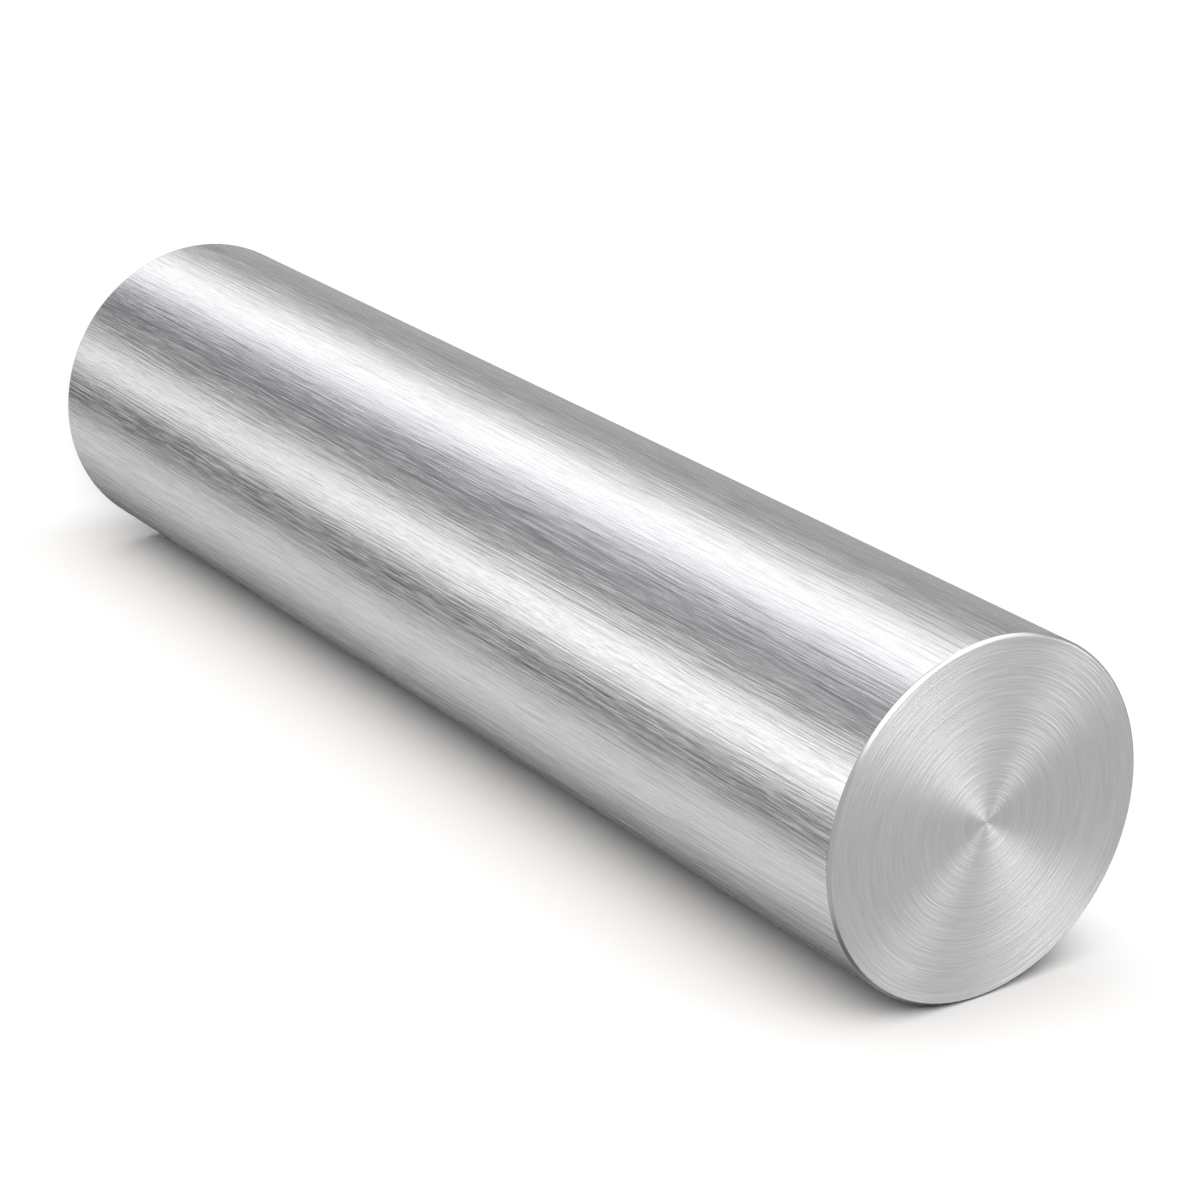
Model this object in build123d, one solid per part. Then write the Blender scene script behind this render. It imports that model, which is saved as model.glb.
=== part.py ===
from build123d import *
import os

# A short length of bright round metal bar, faced and chamfered at both ends.
# The bar is one solid piece. It stands on one end: the origin is the centre of its bottom
# face, and Z runs up along its axis. All sizes are in millimetres.

BAR_DIAMETER = 60.0  # stock size of the bar
BAR_LENGTH = 250.0  # length over both faces, chamfers included
CHAMFER = 0.5  # width of the 45 degree edge break round each end face


def half_section(radius, length, chamfer):
    """The section that is turned: axis, end face, chamfer and barrel, for both ends."""
    outline = Polyline(
        (0, 0),
        (radius - chamfer, 0),
        (radius, chamfer),
        (radius, length - chamfer),
        (radius - chamfer, length),
        (0, length),
        close=True,
    )
    return Plane.XZ * make_face(outline)


def round_bar():
    """The whole bar, turned about its own axis."""
    section = half_section(BAR_DIAMETER / 2, BAR_LENGTH, CHAMFER)
    return revolve(section, axis=Axis.Z)


os.makedirs("parts", exist_ok=True)
export_step(round_bar(), "parts/round_bar.step")
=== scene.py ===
import math

import bmesh
import bpy
from mathutils import Matrix, Vector


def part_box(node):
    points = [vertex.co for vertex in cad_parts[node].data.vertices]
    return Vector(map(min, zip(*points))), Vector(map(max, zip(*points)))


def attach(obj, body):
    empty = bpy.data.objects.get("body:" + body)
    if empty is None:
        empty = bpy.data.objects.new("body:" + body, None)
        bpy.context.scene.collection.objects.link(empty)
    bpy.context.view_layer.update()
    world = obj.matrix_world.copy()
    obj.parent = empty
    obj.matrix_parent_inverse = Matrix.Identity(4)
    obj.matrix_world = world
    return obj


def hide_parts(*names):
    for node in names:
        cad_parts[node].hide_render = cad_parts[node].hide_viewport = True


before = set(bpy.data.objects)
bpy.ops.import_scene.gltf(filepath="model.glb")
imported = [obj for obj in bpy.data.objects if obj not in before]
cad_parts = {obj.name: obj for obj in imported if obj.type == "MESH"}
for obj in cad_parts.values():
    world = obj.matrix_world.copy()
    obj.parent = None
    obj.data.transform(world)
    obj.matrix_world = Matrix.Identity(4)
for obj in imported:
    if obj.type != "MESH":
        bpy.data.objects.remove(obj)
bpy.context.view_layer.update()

bpy.context.scene.view_settings.view_transform = "Standard"

# The bar: one solid length of bright steel bar, sawn off and then faced at both ends in a lathe.
# The facing tool leaves a shallow groove for each turn of the bar, and a small chamfer breaks
# each rim. The barrel was brushed along its length with an abrasive belt.
low, high = (Vector(corner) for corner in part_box("round_bar"))
BAR_LENGTH = high.z - low.z
BAR_RADIUS = (high.x - low.x) / 2
CHAMFER = 0.0005  # width of the 45 degree edge break
EDGE_ROUND = 0.00004  # the chamfer's own edges are barely rounded
FLATS = 96  # facets round the barrel
TOOL_FEED = 0.00065  # distance between two grooves of the facing tool
GROOVE_DEPTH = 0.000008
GROOVE_STEPS = (-1, -1, 1, 1)  # down, down, up, up: one groove
EDGE_SUPPORT = 0.0003  # from each chamfer to a ring of edges that keeps the barrel's shading even
ON_BARREL = 0.2  # a face whose normal has less than this along the axis is part of the barrel
ON_END = 0.9  # and one with more than this is part of an end
SAME_PLACE = 0.000001  # two points nearer than this are one
SOFT_EDGE = math.radians(30)  # edges flatter than this are shaded smooth


def select(piece, kind, chosen):
    """In edit mode, select only the faces or edges that chosen() picks."""
    bpy.ops.mesh.select_mode(type=kind)
    bpy.ops.mesh.select_all(action="DESELECT")
    mesh = bmesh.from_edit_mesh(piece.data)
    for part in (mesh.faces if kind == "FACE" else mesh.edges):
        part.select_set(chosen(part))
    bmesh.update_edit_mesh(piece.data)


def runs_round(edge):
    """True for an edge of a ring round the axis, false for one along the bar."""
    return abs(edge.verts[0].co.z - edge.verts[1].co.z) < SAME_PLACE


bpy.ops.object.select_all(action="DESELECT")
bpy.ops.mesh.primitive_cylinder_add(
    vertices=FLATS,
    radius=BAR_RADIUS,
    depth=BAR_LENGTH,
    end_fill_type="NGON",
    location=(0, 0, low.z + BAR_LENGTH / 2),
)
bar = bpy.context.object
bar.name = "bright_bar"
bpy.ops.object.transform_apply(location=True, rotation=True, scale=True)
bpy.ops.object.mode_set(mode="EDIT")

select(bar, "EDGE", runs_round)
bpy.ops.mesh.bevel(offset=CHAMFER, offset_type="OFFSET", segments=1, affect="EDGES")
select(bar, "EDGE", runs_round)
bpy.ops.mesh.bevel(offset=EDGE_ROUND, offset_type="OFFSET", segments=2, affect="EDGES")

rings = [BAR_LENGTH * quarter / 4 for quarter in (1, 2, 3)]
rings += [CHAMFER + EDGE_SUPPORT, BAR_LENGTH - CHAMFER - EDGE_SUPPORT]
for ring in rings:
    bpy.ops.mesh.select_all(action="SELECT")
    bpy.ops.mesh.bisect(plane_co=(0, 0, low.z + ring), plane_no=(0, 0, 1))

for end in (-1, 1):
    select(bar, "FACE", lambda face: len(face.verts) > 4 and face.normal.z * end > ON_END)
    radius = BAR_RADIUS - CHAMFER - EDGE_ROUND
    step = 0
    while radius > TOOL_FEED:
        way = GROOVE_STEPS[step % len(GROOVE_STEPS)]
        bpy.ops.mesh.inset(thickness=TOOL_FEED / len(GROOVE_STEPS), depth=way * GROOVE_DEPTH / 2)
        radius -= TOOL_FEED / len(GROOVE_STEPS)
        step += 1
    bpy.ops.mesh.poke()

bpy.ops.object.mode_set(mode="OBJECT")
bpy.ops.object.shade_smooth_by_angle(angle=SOFT_EDGE)


class Wiring:
    """Adds nodes to one material or light, and joins them up."""

    def __init__(self, tree):
        self.tree = tree

    def add(self, kind, **settings):
        node = self.tree.nodes.new("ShaderNode" + kind)
        for name, value in settings.items():
            setattr(node, name, value)
        return node

    def plug(self, socket, value):
        """Join an output to the socket, or give it a fixed value; one number makes a grey."""
        if isinstance(value, bpy.types.NodeSocket):
            self.tree.links.new(value, socket)
        elif socket.type == "RGBA":
            level = value if isinstance(value, tuple) else (value, value, value)
            socket.default_value = (*level, 1)
        else:
            socket.default_value = value

    def math(self, operation, *values):
        node = self.add("Math", operation=operation)
        for socket, value in zip(node.inputs, values):
            self.plug(socket, value)
        return node.outputs["Value"]

    def vector(self, operation, *values):
        node = self.add("VectorMath", operation=operation)
        for socket, value in zip(node.inputs, values):
            self.plug(socket, value)
        return node.outputs["Value" if operation in ("LENGTH", "DOT_PRODUCT") else "Vector"]

    def times(self, vector, factor):
        node = self.add("VectorMath", operation="SCALE")
        self.plug(node.inputs["Vector"], vector)
        self.plug(node.inputs["Scale"], factor)
        return node.outputs["Vector"]

    def remap(self, value, start, end, at_start, at_end, smooth=False):
        """at_start up to start, at_end from end on, and an even or smooth change between them."""
        node = self.add("MapRange", interpolation_type="SMOOTHSTEP" if smooth else "LINEAR")
        self.plug(node.inputs["Value"], value)
        self.plug(node.inputs["From Min"], start)
        self.plug(node.inputs["From Max"], end)
        self.plug(node.inputs["To Min"], at_start)
        self.plug(node.inputs["To Max"], at_end)
        return node.outputs["Result"]

    def mix(self, amount, first, second):
        node = self.add("MixRGB")
        self.plug(node.inputs["Fac"], amount)
        self.plug(node.inputs["Color1"], first)
        self.plug(node.inputs["Color2"], second)
        return node.outputs["Color"]

    def noise(self, place, detail=2.0, roughness=0.55):
        node = self.add("TexNoise")
        self.plug(node.inputs["Vector"], place)
        self.plug(node.inputs["Scale"], 1.0)
        self.plug(node.inputs["Detail"], detail)
        self.plug(node.inputs["Roughness"], roughness)
        return node.outputs["Fac"]

    def scratched(self, *marks):
        """A normal cut by each (pattern, depth) in turn."""
        normal = None
        for pattern, depth in marks:
            bump = self.add("Bump")
            self.plug(bump.inputs["Strength"], 1.0)
            self.plug(bump.inputs["Distance"], depth)
            self.plug(bump.inputs["Height"], pattern)
            if normal:
                self.plug(bump.inputs["Normal"], normal)
            normal = bump.outputs["Normal"]
        return normal


STEEL = 0.62  # how much light bare bright steel sends back
STEEL_EDGE = 0.8  # and how much at a grazing angle


def bright_steel(name, roughness, one_way=0.0):
    """Bare steel: one_way is how far its fine lines stretch a highlight across them."""
    material = bpy.data.materials.new(name)
    material.use_nodes = True
    wiring = Wiring(material.node_tree)
    surface = material.node_tree.nodes["Principled BSDF"].inputs
    wiring.plug(surface["Metallic"], 1.0)
    wiring.plug(surface["Base Color"], STEEL)
    wiring.plug(surface["Specular Tint"], STEEL_EDGE)
    wiring.plug(surface["Roughness"], roughness)
    wiring.plug(surface["Anisotropic"], one_way)
    return material, wiring, surface


SWAY_WAVES = (170, 170, 40)  # waves in a metre, across the bar and along it
SWAY = 0.00045  # how far a fine stroke wanders round the bar
NICKS_FROM = (0.62, 0.70)  # only the peaks of their pattern are cut
NICK_DARKNESS = 0.5
FINE_SHARE = 0.35  # of the fine strokes in the barrel's shades; the rest is hair
STROKE_RANGE = (0.36, 0.64)  # the pattern's middle, spread out from darkest to lightest stroke
STROKE_ROUGHNESS = (0.12, 0.28)
STROKE_LEVELS = (0.78, 1.22)  # of bare steel
barrel_steel, wiring, surface = bright_steel("brushed_barrel", 0.2, one_way=0.8)
spot = wiring.add("TexCoord").outputs["Object"]
round_way = wiring.vector("NORMALIZE", wiring.vector("CROSS_PRODUCT", (0, 0, 1), spot))
sway = wiring.noise(wiring.vector("MULTIPLY", spot, SWAY_WAVES))
wavering = wiring.times(round_way, wiring.remap(sway, 0, 1, -SWAY, SWAY))
swayed = wiring.vector("ADD", spot, wavering)


def brush_lines(place, width, length, detail=2.0, roughness=0.55):
    """Fine lines along the bar, about as wide and as long as asked, in metres."""
    stretch = (1 / width, 1 / width, 1 / length)
    return wiring.noise(wiring.vector("MULTIPLY", place, stretch), detail, roughness)


broad = brush_lines(spot, 0.0016, 0.060)
fine = brush_lines(swayed, 0.0004, 0.022, detail=3.0, roughness=0.65)
hair = brush_lines(swayed, 0.00018, 0.011, detail=2.0, roughness=0.65)
peaks = brush_lines(swayed, 0.00035, 0.020, detail=1.0)
nicks = wiring.remap(peaks, *NICKS_FROM, 0.0, NICK_DARKNESS)
lines = wiring.math(
    "ADD",
    wiring.math("MULTIPLY", fine, FINE_SHARE),
    wiring.math("MULTIPLY", hair, 1 - FINE_SHARE),
)
lines = wiring.math("SUBTRACT", wiring.remap(lines, *STROKE_RANGE, 0.0, 1.0), nicks)
strokes = wiring.scratched((broad, 0.000035), (fine, 0.00003), (hair, 0.000032))
wiring.plug(surface["Tangent"], round_way)
wiring.plug(surface["Normal"], strokes)
wiring.plug(surface["Roughness"], wiring.remap(lines, 0, 1, *STROKE_ROUGHNESS))
wiring.plug(surface["Base Color"], wiring.mix(lines, *(STEEL * part for part in STROKE_LEVELS)))

RING_LEVELS = (0.65, 1.07)  # of bare steel
WIDE_SHARE = 0.32  # of the wide rings in the end's shades; the rest is tight
end_steel, wiring, surface = bright_steel("turned_end", 0.38, one_way=0.9)
spot = wiring.add("TexCoord").outputs["Object"]
in_plane = wiring.vector("MULTIPLY", spot, (1, 1, 0))
outward = wiring.vector("NORMALIZE", in_plane)
reach = wiring.vector("LENGTH", in_plane)


def ring_lines(pitch, length):
    """Fine rings round the axis, pitch apart; each one changes over about the given length."""
    rise = wiring.add("CombineXYZ")
    wiring.plug(rise.inputs["Z"], wiring.math("MULTIPLY", reach, 1 / pitch))
    along_ring = wiring.times(in_plane, 1 / length)
    return wiring.noise(wiring.vector("ADD", along_ring, rise.outputs["Vector"]))


wide = ring_lines(0.0024, 0.030)
coarse = ring_lines(0.0006, 0.013)
tight = ring_lines(0.0003, 0.007)
wiring.plug(surface["Tangent"], outward)
wiring.plug(surface["Normal"], wiring.scratched((coarse, 0.000088), (tight, 0.00005)))
rings = wiring.math(
    "ADD",
    wiring.math("MULTIPLY", wide, WIDE_SHARE),
    wiring.math("MULTIPLY", tight, 1 - WIDE_SHARE),
)
wiring.plug(surface["Base Color"], wiring.mix(rings, *(STEEL * part for part in RING_LEVELS)))

CHAMFER_LEVEL = 0.7  # of bare steel
chamfer_steel, wiring, surface = bright_steel("turned_chamfer", 0.25)
wiring.plug(surface["Base Color"], STEEL * CHAMFER_LEVEL)

FINISHES = (barrel_steel, end_steel, chamfer_steel)
for finish in FINISHES:
    bar.data.materials.append(finish)
for face in bar.data.polygons:
    beyond_flat = math.hypot(face.center.x, face.center.y) > BAR_RADIUS - CHAMFER - EDGE_ROUND
    if abs(face.normal.z) < ON_BARREL:
        finish = barrel_steel
    elif beyond_flat:
        finish = chamfer_steel
    else:
        finish = end_steel
    face.material_index = FINISHES.index(finish)

# The bar's surface laid out flat: the barrel as two strips, one above the other, with the way
# round the bar running across; above them the two ends, unrolled from centre to rim.
MARGIN = 0.004
STRIP_HEIGHT = 0.25
END_HEIGHT = 0.5
END_WIDTH = 0.5
flat_radius = BAR_RADIUS - CHAMFER
rim_path = flat_radius + CHAMFER * math.sqrt(2)
layout = bar.data.uv_layers[0]
layout.name = "OFBake"
for face in bar.data.polygons:
    middle = math.atan2(face.center.y, face.center.x) % math.tau
    for corner in face.loop_indices:
        point = bar.data.vertices[bar.data.loops[corner].vertex_index].co
        reach = math.hypot(point.x, point.y)
        swing = math.atan2(point.y, point.x) - middle if reach > SAME_PLACE else 0
        turn = middle + (swing + math.pi) % math.tau - math.pi
        if FINISHES[face.material_index] is barrel_steel:
            half = int(middle > math.pi)
            across_strip = turn / math.pi - half
            up_strip = (point.z - low.z) / BAR_LENGTH
            corner_at = (
                MARGIN + across_strip * (1 - 2 * MARGIN),
                half * STRIP_HEIGHT + MARGIN + up_strip * (STRIP_HEIGHT - 2 * MARGIN),
            )
        else:
            far_end = int(face.center.z > low.z + BAR_LENGTH / 2)
            path = reach + max(0, reach - flat_radius) * (math.sqrt(2) - 1)
            corner_at = (
                far_end * END_WIDTH + MARGIN + path / rim_path * (END_WIDTH - 2 * MARGIN),
                2 * STRIP_HEIGHT + MARGIN + turn / math.tau * (END_HEIGHT - 2 * MARGIN),
            )
        layout.data[corner].uv = corner_at

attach(bar, "root")
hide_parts("round_bar")

# The white sheet: plain card that touches one side of the bar along its whole length. The main
# camera looks along the bar and takes the sheet for the floor that the bar lies on. It shows from
# its front only, so it hides nothing from behind.
along = Vector((0, 0, -1))
upward = Vector((-1, 1, 0)).normalized()
across = along.cross(upward)
SHEET_NEAR_SIDE = 0.085  # how far the sheet reaches on the main camera's side of the bar
SHEET_FAR_SIDE = 0.5
SHEET_PAST_END = 0.12
CARD = (0.960, 0.945, 0.932)
SHEET_GLOW = 1.03  # the sheet glows white on its far side, which keeps the bar's shade off it
GLOW_FROM = (0.011, 0.039)  # from the bar's axis, where the glow starts and where it is full


def plane(name, centre, x_axis, y_axis, width, depth):
    """A flat sheet whose front faces the way that x_axis crossed with y_axis points."""
    bpy.ops.object.select_all(action="DESELECT")
    bpy.ops.mesh.primitive_plane_add(size=1)
    sheet = bpy.context.object
    sheet.name = name
    turn = Matrix((x_axis, y_axis, x_axis.cross(y_axis))).transposed().to_4x4()
    sheet.matrix_world = Matrix.Translation(centre) @ turn @ Matrix.Diagonal((width, depth, 1, 1))
    return sheet


def bare_material(name):
    """A material with nothing joined to its output yet."""
    material = bpy.data.materials.new(name)
    material.use_nodes = True
    nodes = material.node_tree.nodes
    nodes.remove(nodes["Principled BSDF"])
    return material, Wiring(material.node_tree), nodes["Material Output"].inputs["Surface"]


middle_of_bar = Vector((0, 0, low.z + BAR_LENGTH / 2))
sheet_middle = middle_of_bar - upward * BAR_RADIUS + across * (SHEET_FAR_SIDE - SHEET_NEAR_SIDE) / 2
sheet = plane(
    "white_sheet",
    sheet_middle,
    across,
    along,
    SHEET_FAR_SIDE + SHEET_NEAR_SIDE,
    BAR_LENGTH + 2 * SHEET_PAST_END,
)
card, wiring, surface = bare_material("white_card")
front = wiring.add("BsdfDiffuse")
wiring.plug(front.inputs["Color"], CARD)
glow = wiring.add("Emission")
wiring.plug(glow.inputs["Color"], SHEET_GLOW)
geometry = wiring.add("NewGeometry").outputs
far_off = wiring.vector("DOT_PRODUCT", geometry["Position"], across)
far_side = wiring.add("MixShader")
wiring.plug(far_side.inputs[0], wiring.remap(far_off, *GLOW_FROM, 0, 1, smooth=True))
wiring.plug(far_side.inputs[1], front.outputs["BSDF"])
wiring.plug(far_side.inputs[2], glow.outputs["Emission"])
one_sided = wiring.add("MixShader")
wiring.plug(one_sided.inputs[0], geometry["Backfacing"])
wiring.plug(one_sided.inputs[1], far_side.outputs["Shader"])
wiring.plug(one_sided.inputs[2], wiring.add("BsdfTransparent").outputs["BSDF"])
wiring.plug(surface, one_sided.outputs["Shader"])
sheet.data.materials.append(card)
sheet.visible_glossy = False
sheet.visible_diffuse = False
sheet.visible_shadow = False

# The floor: it glows white, with a painted shadow close round the foot of the bar, on the side
# turned away from one slanted direction; no lamp casts it, it comes from how open each spot is
# towards that direction. In front of the sheet it is cut away beside the foot, so that the main
# camera sees the sheet, and the bar's shade on it, run on past the end of the bar.
FLOOR_SIZE = 20
# Reach and darkest level of the painted shadow round the foot.
SHADOW_REACH = 0.11
SHADOW_LEVEL = 0.25
FLOOR_LEVEL = 1.03  # just over white
SHADOW_FREE_OPENNESS = 0.8  # a spot this open towards that direction is fully white, without painted shadow
CUT_HEIGHT = (0.002, 0.0105)  # above the sheet, where the cut starts to close and where it ends
painted_shadow_way = (-0.45 * across + 0.75 * upward - 0.5 * along).normalized()
floor = plane(
    "floor",
    Vector((0, 0, low.z)),
    Vector((1, 0, 0)),
    Vector((0, 1, 0)),
    FLOOR_SIZE,
    FLOOR_SIZE,
)
pale_floor_painted_shadow, wiring, surface = bare_material("pale_floor_painted_shadow")
openness_round_foot = wiring.add("AmbientOcclusion", samples=16)
wiring.plug(openness_round_foot.inputs["Distance"], SHADOW_REACH)
painted_shadow_heading = wiring.add("CombineXYZ")
for socket, part in zip(painted_shadow_heading.inputs, painted_shadow_way):
    wiring.plug(socket, part)
wiring.plug(openness_round_foot.inputs["Normal"], painted_shadow_heading.outputs["Vector"])
floor_glow = wiring.add("Emission")
# Painted shadow: the floor's glow is dimmed where the bar closes off the slanted direction near its
# foot.
level = wiring.remap(openness_round_foot.outputs["AO"], 0, SHADOW_FREE_OPENNESS, SHADOW_LEVEL, FLOOR_LEVEL)
wiring.plug(floor_glow.inputs["Color"], level)
spot = wiring.add("NewGeometry").outputs["Position"]
over_sheet = wiring.math("ADD", wiring.vector("DOT_PRODUCT", spot, upward), BAR_RADIUS)
low_down = wiring.remap(over_sheet, *CUT_HEIGHT, 1, 0, smooth=True)
before_sheet = wiring.math("GREATER_THAN", over_sheet, 0.0)
sheets_passed = wiring.add("LightPath").outputs["Transparent Depth"]
seen_directly = wiring.math("LESS_THAN", sheets_passed, 0.5)
cut = wiring.math("MULTIPLY", wiring.math("MULTIPLY", low_down, before_sheet), seen_directly)
with_cut = wiring.add("MixShader")
wiring.plug(with_cut.inputs[0], cut)
wiring.plug(with_cut.inputs[1], floor_glow.outputs["Emission"])
wiring.plug(with_cut.inputs[2], wiring.add("BsdfTransparent").outputs["BSDF"])
wiring.plug(surface, with_cut.outputs["Shader"])
floor.data.materials.append(pale_floor_painted_shadow)
floor.visible_glossy = False
floor.visible_diffuse = False
floor.visible_shadow = False

# The studio: long soft lights and dark gaps between them stand parallel to the bar and show in
# its brushed side. Round soft lights stand in front of the end face. The camera sees none of
# them, only a white background.
world = bpy.data.worlds.new("studio")
bpy.context.scene.world = world
world.use_nodes = True
world.cycles.sampling_method = "NONE"
wiring = Wiring(world.node_tree)
look = wiring.add("TexCoord").outputs["Generated"]


def facing(direction):
    """How far a ray heads one way: 1 straight towards it, -1 straight away from it."""
    return wiring.vector("DOT_PRODUCT", look, direction)


PLAIN = (1.0, 1.0, 1.0)
COOL = (0.975, 0.99, 1.04)
PALE = (1.0, 1.0, 1.02)
WARM = (1.015, 1.0, 0.997)
# Round the bar's axis, from straight up towards the side away from the main camera: degrees,
# level, tint, and whether the light is one of those that stop short of the bar's foot.
STRIPS = (
    (-180, 0.54, WARM, 0),
    (-168, 0.70, WARM, 0),
    (-158, 0.86, WARM, 0),
    (-148, 1.03, WARM, 0),
    (-136, 1.02, WARM, 0),
    (-126, 0.86, WARM, 0),
    (-117, 0.48, WARM, 0),
    (-110, 0.11, WARM, 1),
    (-102, 0.11, WARM, 1),
    (-95, 0.45, WARM, 1),
    (-88, 1.10, WARM, 1),
    (-80, 2.05, PLAIN, 1),
    (-70, 2.10, PLAIN, 1),
    (-58, 0.85, WARM, 1),
    (-48, 0.42, PLAIN, 1),
    (-36, 0.44, COOL, 1),
    (-24, 0.42, COOL, 1),
    (-14, 0.65, COOL, 1),
    (-4, 1.20, COOL, 0),
    (6, 1.88, PALE, 0),
    (16, 1.98, PALE, 0),
    (26, 1.60, PALE, 0),
    (38, 1.00, PALE, 0),
    (52, 0.64, PLAIN, 0),
    (66, 0.50, PLAIN, 0),
    (82, 0.58, PLAIN, 0),
    (98, 0.72, PLAIN, 0),
    (120, 0.25, PLAIN, 0),
    (138, 0.05, PLAIN, 0),
    (150, 0.09, PLAIN, 0),
    (160, 0.26, WARM, 0),
    (170, 0.41, WARM, 0),
)
angle = wiring.math("ARCTAN2", facing(across), facing(upward))
strips = wiring.add("ValToRGB")
wiring.plug(strips.inputs["Fac"], wiring.math("MULTIPLY_ADD", angle, 1 / math.tau, 0.5))
stops = strips.color_ramp.elements
for number, (degrees, level, tint, stops_short) in enumerate(STRIPS):
    place = 0.5 + degrees / 360
    stop = stops[number] if number < 2 else stops.new(place)
    stop.position = place
    stop.color = [level * part for part in tint] + [stops_short]
STRIPS_END = (0.785, 0.84)  # how far along the bar a ray heads where the short ones stop
STRIPS_END_LOSS = 0.27  # of their light
loss = wiring.remap(facing(along), *STRIPS_END, 0.0, STRIPS_END_LOSS)
lost = wiring.math("MULTIPLY", loss, strips.outputs["Alpha"])
side_light = wiring.times(strips.outputs["Color"], wiring.math("SUBTRACT", 1.0, lost))

FRONT_LEVEL = 0.84
FRONT_FROM = (0.0, 0.3)  # how far a ray heads out from the end face where the front fades in
in_front = wiring.remap(facing(-along), *FRONT_FROM, 0, 1, smooth=True)
seen = wiring.mix(in_front, side_light, FRONT_LEVEL)
# Each round light: its direction as (across, upward, out from the end face), its radius and the
# softness of its edge in degrees, and its level.
ROUND_LIGHTS = (
    ((-0.24, 0.67, 0.70), 21, 8, 3.1),
    ((0.55, 0.68, 0.48), 24, 8, 2.95),
    ((0.29, 0.03, 0.95), 11, 6, 3.6),
    ((0.95, 0.02, 0.30), 12, 6, 4.5),
    ((0.72, 0.42, 0.55), 14, 8, 1.4),
    ((-0.25, -0.92, 0.30), 16, 8, 0.2),
)
for (sideways, up, out), radius, softness, level in ROUND_LIGHTS:
    toward = (sideways * across + up * upward - out * along).normalized()
    outer = math.cos(math.radians(radius + softness))
    inner = math.cos(math.radians(radius - softness))
    seen = wiring.mix(wiring.remap(facing(toward), outer, inner, 0, 1, smooth=True), seen, level)

# The sheet is lit from above, most of all from the main camera's side and from low in front, and
# hardly at all from beyond the bar's far end. Each line says between which two headings the light
# changes, and its level before and after.
from_above = wiring.remap(facing(upward), 0.347, 0.614, 0.0, 2.52)
from_the_side = wiring.remap(facing(across), -0.50, 0.55, 0.668, 0.0)
not_from_beyond = wiring.remap(facing(along), 0.17, 0.47, 1.87, 0.05)
low_in_front = wiring.remap(facing(along), -0.755, -0.222, 2.0, 1.0)
on_the_sheet = from_above
for part in (from_the_side, not_from_beyond, low_in_front):
    on_the_sheet = wiring.math("MULTIPLY", on_the_sheet, part)

# The steel sees the studio, but throws none of it back on the sheet.
ray = wiring.add("LightPath").outputs
seen = wiring.mix(ray["Diffuse Depth"], seen, 0.0)
by_ray = wiring.mix(ray["Is Glossy Ray"], on_the_sheet, seen)
by_ray = wiring.mix(ray["Is Camera Ray"], by_ray, 1.0)
wiring.plug(world.node_tree.nodes["Background"].inputs["Color"], by_ray)

# The main camera: low over the bar and in front of its near end, turned so that the bar seems
# to lie on the white sheet.
CAMERA_FRONT = 0.3518
CAMERA_SIDE = 0.3096
CAMERA_HEIGHT = 0.2244
TILT = math.radians(22.05)
SWING = math.radians(34.23)
LENS = 102.9  # millimetres, as is the sensor
SENSOR = 36
eye = Vector((0, 0, high.z)) - along * CAMERA_FRONT - across * CAMERA_SIDE + upward * CAMERA_HEIGHT
level_way = math.cos(SWING) * along + math.sin(SWING) * across
forward = math.cos(TILT) * level_way - math.sin(TILT) * upward
right = math.cos(SWING) * across - math.sin(SWING) * along
camera = bpy.data.objects.new("camera", bpy.data.cameras.new("camera"))
bpy.context.collection.objects.link(camera)
camera.data.lens = LENS
camera.data.sensor_width = SENSOR
turn = Matrix((right, right.cross(forward), -forward)).transposed().to_4x4()
camera.matrix_world = Matrix.Translation(eye) @ turn
bpy.context.scene.camera = camera
